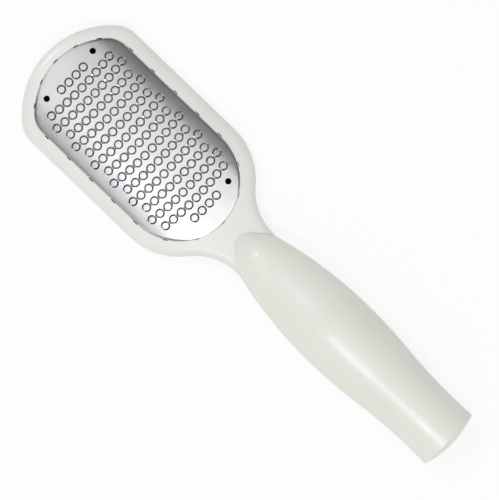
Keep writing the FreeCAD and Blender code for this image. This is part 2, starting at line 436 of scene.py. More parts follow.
@dataclass(frozen=True)
class Noise:
    """Soft noise: waves in a metre, finer waves on top, and the scale along each axis."""

    scale: float
    detail: float
    stretch: tuple[float, float, float] = (1.0, 1.0, 1.0)

    def value(self, nodes: Nodes, place: Value) -> Value:
        """Make the noise.

        Args:
            nodes: Tree to write in.
            place: Coordinates.

        Returns:
            A number about a half.
        """
        mapped = nodes.value("ShaderNodeMapping", 0, None, {"Vector": place, "Scale": self.stretch})
        inputs = {"Vector": mapped, "Scale": self.scale, "Detail": self.detail}
        return nodes.value("ShaderNodeTexNoise", "Fac", None, inputs)


@dataclass(frozen=True)
class Finish:
    """Base of the finishes: a named material on Object coordinates."""

    name: str

    def material(self) -> bpy.types.Material:
        """Make the material.

        Returns:
            The material, with one shader.
        """
        material = bpy.data.materials.new(self.name)
        nodes = Nodes(material)
        place = nodes.value("ShaderNodeTexCoord", "Object")
        nodes.surface(nodes.add("ShaderNodeBsdfPrincipled", None, self.sockets(nodes, place)))
        return material

    def sockets(self, nodes: Nodes, place: Value) -> Inputs:
        """Values and links of the shader."""
        raise NotImplementedError

    @staticmethod
    def share(noise: Value, contrast: float) -> Value:
        """Share from 0 to 1: the noise's distance from its middle times a contrast, plus a half."""
        return ((noise - NOISE_MIDDLE) * contrast + NOISE_MIDDLE).clamped(0.0, 1.0)


@dataclass(frozen=True)
class MouldedPlastic(Finish):
    """White moulded plastic: faint clouds of colour and gloss, fine orange peel, handling marks."""

    colour: Colour = (0.79, 0.774, 0.708)
    cloud_colour: Colour = (0.752, 0.737, 0.668)
    clouds: Noise = Noise(38.0, 3.0)
    contrast: float = 1.6
    roughness: float = 0.31
    gloss: Noise = Noise(140.0, 2.0)
    gloss_swing: float = 0.10
    marks: Noise = Noise(60.0, 4.0, (1.0, 14.0, 4.0))
    mark_swing: float = 0.06
    peel: Noise = Noise(900.0, 1.0)
    peel_depth: float = 0.000012
    peel_strength: float = 0.5
    ior: float = 1.5

    def sockets(self, nodes: Nodes, place: Value) -> Inputs:
        """Colour from clouds, roughness from clouds and long thin marks, the peel as bump.

        Args:
            nodes: Tree to write in.
            place: Coordinates.

        Returns:
            Values and links of the shader.
        """
        clouds, gloss, marks, peel = (noise.value(nodes, place) for noise in (
            self.clouds, self.gloss, self.marks, self.peel))
        share = self.share(clouds, self.contrast)
        return {
            "Base Color": nodes.blend(share, self.colour, self.cloud_colour),
            "Roughness": (self.roughness + (gloss - NOISE_MIDDLE) * self.gloss_swing
                          + (marks - NOISE_MIDDLE) * self.mark_swing),
            "Normal": nodes.bump(peel, self.peel_depth, self.peel_strength),
            "IOR": self.ior,
        }


@dataclass(frozen=True)
class SatinSteel(Finish):
    """Rolled stainless sheet: a fine grain along the roll, and soft smudges a little duller."""

    bright: Colour = (0.80, 0.80, 0.80)
    dull: Colour = (0.70, 0.70, 0.715)
    smudges: Noise = Noise(70.0, 3.0)
    contrast: float = 1.4
    roughness: float = 0.21
    smudge_swing: float = 0.12
    grain: Noise = Noise(55.0, 4.0, (1.0, 60.0, 60.0))
    grain_swing: float = 0.10
    grain_depth: float = 0.000006
    grain_strength: float = 0.6

    def sockets(self, nodes: Nodes, place: Value) -> Inputs:
        """Colour from smudges, roughness from smudges and grain, the grain as bump.

        Args:
            nodes: Tree to write in.
            place: Coordinates.

        Returns:
            Values and links of the shader.
        """
        smudges, grain = (noise.value(nodes, place) for noise in (self.smudges, self.grain))
        share = self.share(smudges, self.contrast)
        return {
            "Base Color": nodes.blend(share, self.bright, self.dull),
            "Metallic": 1.0,
            "Roughness": (self.roughness + (grain - NOISE_MIDDLE) * self.grain_swing
                          + (smudges - NOISE_MIDDLE) * self.smudge_swing),
            "Normal": nodes.bump(grain, self.grain_depth, self.grain_strength),
        }


# The object


@dataclass(frozen=True)
class Places:
    """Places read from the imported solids."""

    tip_x: float
    head_half_width: float
    plate_tip_x: float
    plate_end_x: float
    plate_half_width: float
    nose_x: float
    stop_x: float
    end_x: float
    parting_z: float
    grip_half_width: float
    grip_top_z: float

    @classmethod
    def from_frame(cls) -> Places:
        """Read the corners of the solids' boxes.

        Returns:
            The places in millimetres.
        """
        boxes = {solid: [Vector(corner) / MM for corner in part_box(solid.value)] for solid in Solid}
        head_low, head_high = boxes[Solid.HEAD_FRAME]
        plate_low, plate_high = boxes[Solid.RASP_PLATE]
        front_low, front_high = boxes[Solid.GRIP_FRONT]
        back_low, _ = boxes[Solid.GRIP_BACK]
        return cls(
            tip_x=head_low.x, head_half_width=head_high.y,
            plate_tip_x=plate_low.x, plate_end_x=plate_high.x, plate_half_width=plate_high.y,
            nose_x=front_low.x, stop_x=back_low.x, end_x=front_high.x,
            parting_z=front_low.z, grip_half_width=front_high.y, grip_top_z=front_high.z)


@dataclass
class RaspPlate:
    """Crowned steel sheet with rows of ring cutters, locating holes and lugs round its edge."""

    places: Places
    finish: SatinSteel
    # Sheet
    tip_radius: float = 33.2
    corner_radius: float = 10.6
    edge_counts: tuple[int, int, int, int] = (40, 14, 40, 60)
    crest: float = 12.2
    crown_radius: float = 89.0
    sheet: float = 0.5
    roll_width: float = 0.8
    roll_drop: float = 0.25
    roll_rows: int = 4
    fill_pitch: float = 2.3
    fill_clear: float = 1.15
    ring_clear: float = 0.3833
    crisp_angle: float = 9.5
    # Rings
    row_count: int = 15
    end_row_rings: int = 4
    full_row_rings: int = 10
    row_pitch: float = 5.62
    first_row_inset: float = 10.05
    row_bow_radius: float = 140.0
    row_shift: float = -0.3
    ring_pitch: float = 4.45
    ring_radius: float = 2.06
    slot_width: float = 0.72
    slot_half_angle: float = 64.0
    slot_steps: int = 6
    cut_widths: float = 1.4
    cut_end: float = 0.4
    disc_rise: float = 0.45
    disc_crown: float = 0.012
    bridge_reach: float = 2.1
    # Locating holes
    hole_radius: float = 1.4
    hole_points: int = 20
    hole_y: float = 14.2
    tip_hole_inset: float = 8.0
    neck_hole_inset: float = 10.4
    # Lugs
    lug_width: float = 2.6
    lug_drop: float = 2.02
    lug_foot: float = 1.85
    lug_setback: float = 0.35
    lug_bend: float = 0.4
    lug_bend_points: int = 5
    side_lugs: int = 5
    first_lug_inset: float = 2.8
    last_lug_inset: float = 1.2
    tip_lugs: int = 5
    tip_lug_angle: float = 18.3
    neck_lugs: int = 5
    neck_lug_angle: float = 29.7

    @property
    def tip(self) -> BluntTip:
        """Blunt tip of the outline."""
        return BluntTip(self.places.plate_tip_x, self.tip_radius, self.corner_radius,
                        self.places.plate_half_width)

    @property
    def neck_x(self) -> float:
        """Centre of the round end."""
        return self.places.plate_end_x - self.places.plate_half_width

    @property
    def disc_radius(self) -> float:
        """Inner edge of the slots."""
        return self.ring_radius - self.slot_width

    @property
    def band_radius(self) -> float:
        """Middle of the slots."""
        return self.ring_radius - self.slot_width / 2

    @property
    def slot_end_angle(self) -> float:
        """Half angle of a slot with its rounded end."""
        return self.slot_half_angle + math.degrees(self.slot_width / 2 / self.band_radius)

    def outline(self, counts: Sequence[int]) -> Path:
        """Half outline from the tip to the far end: blunt tip, straight side, round end.

        Args:
            counts: Points on the tip's arc, its corner, the side and the round end.

        Returns:
            The half outline, ends included.
        """
        half = self.places.plate_half_width
        *tip_counts, side_count, end_count = counts
        side = line((self.tip.side_x, half), (self.neck_x, half), (0.0, 1.0), side_count)
        end = arc((self.neck_x, 0.0), half, 90.0, 0.0, end_count, closed=True)
        return join(self.tip.path(tip_counts), side, end)

    def height(self, y: Array) -> Array:
        """Top of the sheet at a distance off the middle line."""
        return crown(y, self.crest, self.crown_radius)

    def unrolled(self, plan: Array) -> Array:
        """Plan laid flat: the distance across becomes the radius times its share's arc sine."""
        across = self.crown_radius * np.arcsin(plan[:, 1] / self.crown_radius)
        return np.column_stack([plan[:, 0], across])

    def ring_places(self) -> Array:
        """Centres of the rings: rows across the sheet, bowed to an arc, in turn wide and narrow.

        Returns:
            A point on the flat sheet for each ring.
        """
        rows = np.arange(self.row_count)
        counts = self.full_row_rings - rows % 2
        counts[[0, -1]] = self.end_row_rings
        row = np.repeat(rows, counts)
        first = np.repeat(np.cumsum(counts) - counts, counts)
        across = (np.arange(len(row)) - first - (counts[row] - 1) / 2) * self.ring_pitch
        bow = self.row_bow_radius - np.sqrt(self.row_bow_radius ** 2 - across ** 2)
        start = self.places.plate_tip_x + self.first_row_inset
        return np.stack([start + row * self.row_pitch - bow, across + self.row_shift], axis=1)

    def slot_loop(self, facing: float) -> Array:
        """One slot about a ring's centre: an outer arc, a rounded end, an inner arc back, an end.

        Args:
            facing: Direction of the slot's middle in degrees.

        Returns:
            The points of the closed loop.
        """
        reach, end = self.slot_half_angle, self.slot_end_angle
        count = self.slot_steps + 1
        stretches = ((self.ring_radius, -reach, reach, count), (self.band_radius, end, end, 1),
                     (self.disc_radius, reach, -reach, count), (self.band_radius, -end, -end, 1))
        arcs = [arc((0.0, 0.0), radius, facing + start, facing + finish, points, closed=True)
                for radius, start, finish, points in stretches]
        return join(*arcs).points

    def hole_centres(self) -> Array:
        """Locating holes: two at the tip, one at the neck.

        Returns:
            A point on the flat sheet for each hole.
        """
        tip = self.places.plate_tip_x + self.tip_hole_inset
        neck = self.places.plate_end_x - self.neck_hole_inset
        return np.array([(tip, self.hole_y), (tip, -self.hole_y), (neck, self.hole_y)])

    def fill_points(self, edge: Array, rings: Array) -> Array:
        """Even points over the sheet, off its edge, rings and holes, and a few on the bridges.

        Args:
            edge: Outline of the flat sheet.
            rings: Centres of the rings.

        Returns:
            The points.
        """
        low, high = edge.min(axis=0), edge.max(axis=0)
        x, y = np.meshgrid(*(np.arange(*ends, self.fill_pitch) for ends in zip(low, high)))
        points = np.stack([x.ravel(), y.ravel()], axis=1)
        gaps = ((edge, self.fill_clear), (rings, self.ring_radius + self.ring_clear),
                (self.hole_centres(), self.hole_radius + self.fill_clear))
        for centres, gap in gaps:
            points = points[nearest(points, centres)[0] > gap]
        reach = np.array([self.disc_radius, self.band_radius, self.bridge_reach])
        across = np.concatenate([[0.0], reach, -reach])
        bridge = np.column_stack([np.zeros_like(across), across])
        return np.concatenate([points, (rings[:, None] + bridge[None]).reshape(-1, 2)])

    @staticmethod
    def about_ring(spots: Array, rings: Array) -> tuple[Array, Array]:
        """Place of each spot about its nearest ring.

        Args:
            spots: Points of the flat sheet.
            rings: Centres of the rings.

        Returns:
            Distance from the ring's centre, and the angle there off the length, from 0 to 90.
        """
        radius, number = nearest(spots, rings)
        along, across = np.abs(spots - rings[number]).T
        return radius, np.degrees(np.arctan2(across, along))

    def is_open(self, spots: Array, rings: Array) -> Array:
        """Tell which spots of the flat sheet lie in a slot or a hole.

        A slot is the part of a ring's band that is nearer in angle to the length than the slot's
        half angle and a share of its rounded end. The band is taken a little wider inwards, because
        the chords of its inner arc lie inside that arc.

        Args:
            spots: Middles of the triangles.
            rings: Centres of the rings.

        Returns:
            True for each spot that is cut away.
        """
        radius, angle = self.about_ring(spots, rings)
        inner = self.ring_radius - self.cut_widths * self.slot_width
        end = self.slot_half_angle + self.cut_end * (self.slot_end_angle - self.slot_half_angle)
        in_slot = (radius > inner) & (radius < self.ring_radius) & (angle < end)
        return in_slot | (nearest(spots, self.hole_centres())[0] < self.hole_radius)

    @staticmethod
    def closed_loops(groups: Sequence[Array]) -> tuple[Array, Array]:
        """Number the points of closed loops, and join each point to the next.

        Args:
            groups: Arrays of loops, each of as many points.

        Returns:
            All the points, and two point numbers per edge.
        """
        points, edges, start = [], [], 0
        for group in groups:
            count, size = group.shape[:2]
            number = start + np.arange(count * size).reshape(count, size)
            edges.append(np.stack([number, np.roll(number, -1, axis=1)], axis=2).reshape(-1, 2))
            points.append(group.reshape(-1, 2))
            start += count * size
        return np.concatenate(points), np.concatenate(edges)

    def flat_sheet(self) -> tuple[Array, Array]:
        """Flat sheet: its outline, slots and holes as closed loops, filled with even triangles.

        Returns:
            Points of the flat sheet, and three point numbers per triangle.
        """
        outline = self.outline(self.edge_counts).looped()
        edge = self.unrolled(outline.points)
        rings = self.ring_places()
        circle = arc((0.0, 0.0), self.hole_radius, 0.0, 360.0, self.hole_points).points
        holes = self.hole_centres()[:, None] + circle[None]
        slots = [rings[:, None] + self.slot_loop(facing)[None] for facing in (0.0, 180.0)]
        loops, edges = self.closed_loops([edge[None], holes, *slots])
        insets = self.roll_width * np.linspace(0.0, 1.0, self.roll_rows + 1)[1:]
        rolled = [self.unrolled(outline.offset(-inset)) for inset in insets]
        points = np.concatenate([loops, *rolled, self.fill_points(edge, rings)])
        result = delaunay_2d_cdt(points.tolist(), edges.tolist(), [],
                                 TRIANGLES_INSIDE, FILL_TOLERANCE)
        flat, faces = np.array(result[0]), np.array(result[2])
        faces = faces[~self.is_open(flat[faces].mean(axis=1), rings)]
        used, number = np.unique(faces, return_inverse=True)
        return flat[used], number.reshape(faces.shape)

    def lift(self, flat: Array) -> Array:
        """Rise of the discs: full inside, with a slight crown on top.

        It falls evenly to none at the middle of the ring's band, and on the bridges near the next
        ring.

        Args:
            flat: Points of the flat sheet.

        Returns:
            The rise of each point.
        """
        radius, angle = self.about_ring(flat, self.ring_places())
        disc, band = self.disc_radius, self.band_radius
        on_bridge = ease(self.slot_half_angle, self.slot_end_angle, angle)
        foot = band + (self.bridge_reach - band) * on_bridge
        rise = self.disc_rise * np.clip((foot - radius) / (foot - disc), 0.0, 1.0)
        return rise + self.disc_crown * (1 - np.minimum(radius / disc, 1.0) ** 2)

    def roll(self, flat: Array) -> Array:
        """Fall of the top along the long sides, as the square of the share of the roll's width.

        Args:
            flat: Points of the flat sheet.

        Returns:
            The fall of each point.
        """
        outline = self.outline(self.edge_counts).looped()
        away, number = nearest(flat, self.unrolled(outline.points))
        sideways = outline.normals[number, 1] ** 2
        return self.roll_drop * sideways * np.clip(1 - away / self.roll_width, 0.0, 1.0) ** 2

    @staticmethod
    def rim_walls(faces: Array, count: int) -> Array:
        """Walls between the top and the underside, at every side that only one triangle has.

        Args:
            faces: Triangles of the top.
            count: Points of the top, after which the underside's follow.

        Returns:
            Four point numbers per wall.
        """
        sides = np.concatenate([faces[:, [0, 1]], faces[:, [1, 2]], faces[:, [2, 0]]])
        key = np.sort(sides, axis=1) @ np.array([count, 1])
        _, first, times = np.unique(key, return_index=True, return_counts=True)
        start, finish = sides[first[times == 1]].T
        return np.stack([finish, start, start + count, finish + count], axis=1)

    def formed_sheet(self) -> Surface:
        """Sheet rolled to its crown, with its discs, its thickness and the walls of every edge.

        A point at x and a distance v across goes to y = R sin(v/R), z = crest - R (1 - cos(v/R)).
        It is then moved square to the sheet, up by its lift and on the top down by its roll. The
        underside lies one thickness below.

        Returns:
            The closed sheet.
        """
        flat, faces = self.flat_sheet()
        turn = flat[:, 1] / self.crown_radius
        normal = np.stack([np.zeros_like(turn), np.sin(turn), np.cos(turn)], axis=1)
        base = np.array([0.0, 0.0, self.crest - self.crown_radius]) + normal * self.crown_radius
        base[:, 0] = flat[:, 0]
        lift = self.lift(flat)
        top = base + normal * (lift - self.roll(flat))[:, None]
        under = base + normal * (lift - self.sheet)[:, None]
        count = len(flat)
        skins = np.concatenate([faces, faces[:, ::-1] + count])
        return Surface(np.concatenate([top, under]),
                       skins.tolist() + self.rim_walls(faces, count).tolist())

    def lug_places(self) -> Path:
        """Places of the lugs on the outline: along both sides, round the tip, round the neck end.

        Returns:
            The places, with the direction outwards at each.
        """
        half = self.places.plate_half_width
        start, stop = self.tip.side_x + self.first_lug_inset, self.neck_x - self.last_lug_inset
        tip_turn = (self.tip_lugs - 1) / 2 * self.tip_lug_angle
        neck_turn = (self.neck_lugs - 1) / 2 * self.neck_lug_angle
        sides = [line((start, sign * half), (stop, sign * half), (0.0, sign), self.side_lugs,
                      closed=True) for sign in (1.0, -1.0)]
        tip = arc((self.tip.centre_x, 0.0), self.tip_radius, 180.0 - tip_turn, 180.0 + tip_turn,
                  self.tip_lugs, closed=True)
        neck = arc((self.neck_x, 0.0), half, -neck_turn, neck_turn, self.neck_lugs, closed=True)
        return join(*sides, tip, neck)

    def lug_section(self) -> Array:
        """Section of a lug: a strip straight down, round a bend and inwards, as thick as the sheet.

        Returns:
            Closed points: the distance outwards, and the height over the sheet's underside.
        """
        bend = np.radians(np.linspace(0.0, -90.0, self.lug_bend_points))
        out = self.lug_bend * (np.cos(bend) - 1) - self.lug_setback
        high = self.lug_bend * (np.sin(bend) + 1) - self.lug_drop
        strip = np.column_stack([np.concatenate([[-self.lug_setback], out, [-self.lug_foot]]),
                                 np.concatenate([[self.sheet / 2], high, [-self.lug_drop]])])
        along = np.gradient(strip, axis=0)
        along /= np.linalg.norm(along, axis=1, keepdims=True)
        square = np.stack([-along[:, 1], along[:, 0]], axis=1) * self.sheet / 2
        return np.concatenate([strip + square, (strip - square)[::-1]])

    def lugs(self) -> Surface:
        """Lugs: the section carried over the lug's width at every place.

        Returns:
            All the lugs, each a closed shell.
        """
        section, spots = self.lug_section(), self.lug_places()
        tangent = np.stack([-spots.normals[:, 1], spots.normals[:, 0]], axis=1)
        across = np.array([-0.5, 0.5]) * self.lug_width
        plan = (spots.points[:, None, None]
                + spots.normals[:, None, None] * section[None, None, :, :1]
                + tangent[:, None, None] * across[None, :, None, None])
        under = self.height(spots.points[:, 1]) - self.sheet
        high = under[:, None, None, None] + section[None, None, :, 1:]
        grid = np.concatenate([plan, np.broadcast_to(high, plan.shape[:3] + (1,))], axis=3)
        size = len(section)
        pairs = np.arange(size // 2 - 1)
        cap = np.stack([pairs, pairs + 1, size - 2 - pairs, size - 1 - pairs], axis=1)
        each = np.concatenate([grid_faces(2, size), cap, cap[:, ::-1] + size])
        first = np.arange(len(spots.points)) * 2 * size
        faces = each[None] + first[:, None, None]
        return Surface(grid.reshape(-1, 3), faces.reshape(-1, 4).tolist())

    def build(self) -> bpy.types.Object:
        """Make the plate.

        Returns:
            The piece.
        """
        surface = self.formed_sheet()
        surface.add(self.lugs())
        return surface.to_piece("perforated_plate", self.finish.material(), Slot.STEEL,
                                Solid.RASP_PLATE, self.crisp_angle)


@dataclass
class HeadFrame:
    """Moulded ring with a ledge under the plate, a soft rim, and the neck that meets the grip."""

    places: Places
    finish: MouldedPlastic
    plate: RaspPlate
    # Outline
    tip_radius: float = 39.19
    corner_radius: float = 12.3
    shoulder_radius: float = 30.5
    neck_radius: float = 26.0
    neck_half_width: float = 11.5
    neck_flat: float = 1.5
    stop_gap: float = 0.1
    tip_counts: tuple[int, int] = (72, 26)
    side_count: int = 160
    neck_counts: tuple[int, int, int, int] = (50, 46, 4, 18)
    # Profile
    crest: float = 12.0
    crown_radius: float = 100.0
    top_rows: int = 26
    wall_rows: int = 5
    rim_width: float = 3.6
    rim_depth: float = 2.0
    rim_rows: int = 10
    back_round: float = 0.9
    back_rows: int = 5
    lip_round: float = 0.4
    lip_rows: int = 4
    scoop_start: float = 15.5
    scoop_length: float = 14.0
    neck_underside: float = 5.13
    crisp_angle: float = 40.0
    # Seat of the plate
    plate_gap: float = 0.15
    seat_gap: float = 0.05
    ledge_width: float = 2.75
    ledge_thickness: float = 1.6
    slot_reach: float = 1.1
    notch_depth: float = 0.34
    notch_half_width: float = 1.35
    notch_run: float = 0.3

    @property
    def tip(self) -> BluntTip:
        """Blunt tip of the outline."""
        return BluntTip(self.places.tip_x, self.tip_radius, self.corner_radius,
                        self.places.head_half_width)

    @property
    def stop_x(self) -> float:
        """Face that the grip butts against."""
        return self.places.stop_x - self.stop_gap

    @property
    def narrow_x(self) -> float:
        """Narrowest place of the neck."""
        return self.stop_x - self.neck_flat

    def outer(self) -> Path:
        """Outline: blunt tip, side, shoulder arc, hollow neck arc, and across the stop face.

        The shoulder's arc turns into the neck's where both have turned by the same angle, of which
        the cosine is one less the fall in width over the sum of the radii.

        Returns:
            The closed outline of head and neck.
        """
        half, narrow = self.places.head_half_width, self.neck_half_width
        reach = self.shoulder_radius + self.neck_radius
        turn = math.degrees(math.acos(1 - (half - narrow) / reach))
        shoulder_x = self.narrow_x - reach * math.sin(math.radians(turn))
        shoulder_count, neck_count, flat_count, stop_count = self.neck_counts
        tip = self.tip.path(self.tip_counts)
        side = line((self.tip.side_x, half), (shoulder_x, half), (0.0, 1.0), self.side_count)
        shoulder = arc((shoulder_x, half - self.shoulder_radius), self.shoulder_radius,
                       90.0, 90.0 - turn, shoulder_count)
        neck = arc((self.narrow_x, narrow + self.neck_radius), self.neck_radius,
                   270.0 - turn, 270.0, neck_count, hollow=True)
        flat = line((self.narrow_x, narrow), (self.stop_x, narrow), (0.0, 1.0), flat_count,
                    closed=True)
        stop_y = narrow - self.rim_width - self.lip_round
        stop = line((self.stop_x, stop_y), (self.stop_x, 0.0), (0.0, 0.0), stop_count, closed=True)
        return join(tip, side, shoulder, neck, flat, stop).looped()

    def inner(self) -> Path:
        """Outline of the plate, with as many points as the outer outline."""
        counts = (*self.tip_counts, self.side_count, sum(self.neck_counts))
        return self.plate.outline(counts).looped()

    def top(self, y: Array) -> Array:
        """Crowned top at a distance off the middle line."""
        return crown(y, self.crest, self.crown_radius)

    def back(self, plan: Array) -> Array:
        """Back: level under the head, rising in a smooth step to the underside of the neck."""
        start = self.narrow_x - self.scoop_start
        return self.neck_underside * ease(start, start + self.scoop_length, plan[:, 0])

    def lug_distance(self, inner: Path) -> Array:
        """Distance of each point of the plate's outline from the nearest lug."""
        return nearest(inner.points, self.plate.lug_places().points)[0]

    def notch(self, inner: Path) -> Array:
        """Depth of the notches in the lip: full beside each lug, smoothly ending at its sides."""
        start = self.notch_half_width - self.notch_run
        return self.notch_depth * (1 - ease(start, self.notch_half_width, self.lug_distance(inner)))

    def surface(self) -> Surface:
        """Closed profile carried round the head.

        The rows run outwards under the back, up the rounded outer wall, over the soft rim as
        quarter ellipses, across the crowned top to the lip, down to the ledge, round it and down
        to the back again. Outer rows are offsets of the outer outline, inner rows of the plate's,
        and rows between them lie on straight lines.

        Returns:
            The closed frame.
        """
        outer, inner = self.outer(), self.inner()
        notched = self.plate_gap + self.notch(inner)
        rows: list[Row] = []
        wall, foot = inner.offset(self.plate_gap), outer.offset(-self.back_round)
        for share in np.linspace(0.0, 1.0, self.wall_rows):
            plan = mix(wall, foot, share)
            rows.append((plan, self.back(plan)))
        for turn in np.linspace(0.0, QUARTER, self.back_rows)[1:]:
            plan = outer.offset(-self.back_round * (1 - math.sin(turn)))
            rows.append((plan, self.back(plan) + self.back_round * (1 - math.cos(turn))))
        low = self.back(outer.points) + self.back_round
        high = self.top(outer.points[:, 1]) - self.rim_depth
        for share in np.linspace(0.0, 1.0, self.wall_rows)[1:-1]:
            rows.append((outer.points, mix(low, high, share)))
        for turn in np.linspace(0.0, QUARTER, self.rim_rows):
            plan = outer.offset(-self.rim_width * (1 - math.cos(turn)))
            rows.append((plan, self.top(plan[:, 1]) - self.rim_depth * (1 - math.sin(turn))))
        edge, lip = outer.offset(-self.rim_width), inner.offset(notched + self.lip_round)
        for share in np.linspace(0.0, 1.0, self.top_rows)[1:]:
            plan = mix(edge, lip, share)
            rows.append((plan, self.top(plan[:, 1])))
        for turn in np.linspace(0.0, QUARTER, self.lip_rows)[1:]:
            plan = inner.offset(notched + self.lip_round * (1 - math.sin(turn)))
            rows.append((plan, self.top(lip[:, 1]) - self.lip_round * (1 - math.cos(turn))))
        first_ledge_row = len(rows)
        ledge = [inner.offset(gap) for gap in (
            notched, self.plate_gap - self.slot_reach, self.plate_gap - self.ledge_width)]
        seat = self.plate.sheet + self.seat_gap
        for drop, plans in ((seat, ledge), (seat + self.ledge_thickness, ledge[::-1])):
            rows += [(plan, self.plate.height(plan[:, 1]) - drop) for plan in plans]
        grid = np.stack([np.column_stack([plan, level]) for plan, level in rows])
        is_slot = self.lug_distance(inner) < self.notch_half_width
        return self.slotted(grid, is_slot & np.roll(is_slot, -1), first_ledge_row)

    @staticmethod
    def slotted(grid: Array, is_slot: Array, first_row: int) -> Surface:
        """Closed surface of a grid with slots through its ledge.

        The quads of the ledge's outer strip, above and below, are left out at the slots, and each
        slot gets its four walls from the strip's upper edges to the lower ones.

        Args:
            grid: Points by row and place along the path.
            is_slot: True for each step along the path that lies in a slot.
            first_row: The upper strip's outer row. Its inner row follows, then two rows of the
                edge, then the lower strip's inner and outer rows.

        Returns:
            The surface.
        """
        rows, columns = grid.shape[:2]
        top_out, top_in, low_in, low_out = (first_row + step for step in (0, 1, 4, 5))
        keep = np.ones((rows, columns), bool)
        keep[top_out, is_slot] = False
        keep[low_in, is_slot] = False
        faces = grid_faces(rows, columns, close_rows=True).reshape(rows, columns, 4)
        here = np.flatnonzero(is_slot)
        after = (here + 1) % columns
        start = np.flatnonzero(is_slot & ~np.roll(is_slot, 1))
        finish = (np.flatnonzero(is_slot & ~np.roll(is_slot, -1)) + 1) % columns
        number = np.arange(rows * columns).reshape(rows, columns)
        walls = [np.stack([number[upper, here], number[upper, after],
                           number[lower, after], number[lower, here]], axis=1)
                 for upper, lower in ((top_out, low_out), (top_in, low_in))]
        walls += [np.stack([number[row, end] for row in (top_out, top_in, low_in, low_out)], axis=1)
                  for end in (start, finish)]
        return Surface(grid.reshape(-1, 3), np.concatenate([faces[keep], *walls]).tolist())

    def build(self) -> bpy.types.Object:
        """Make the frame."""
        return self.surface().to_piece("moulded_frame", self.finish.material(), Slot.FRAME,
                                       Solid.HEAD_FRAME, self.crisp_angle)


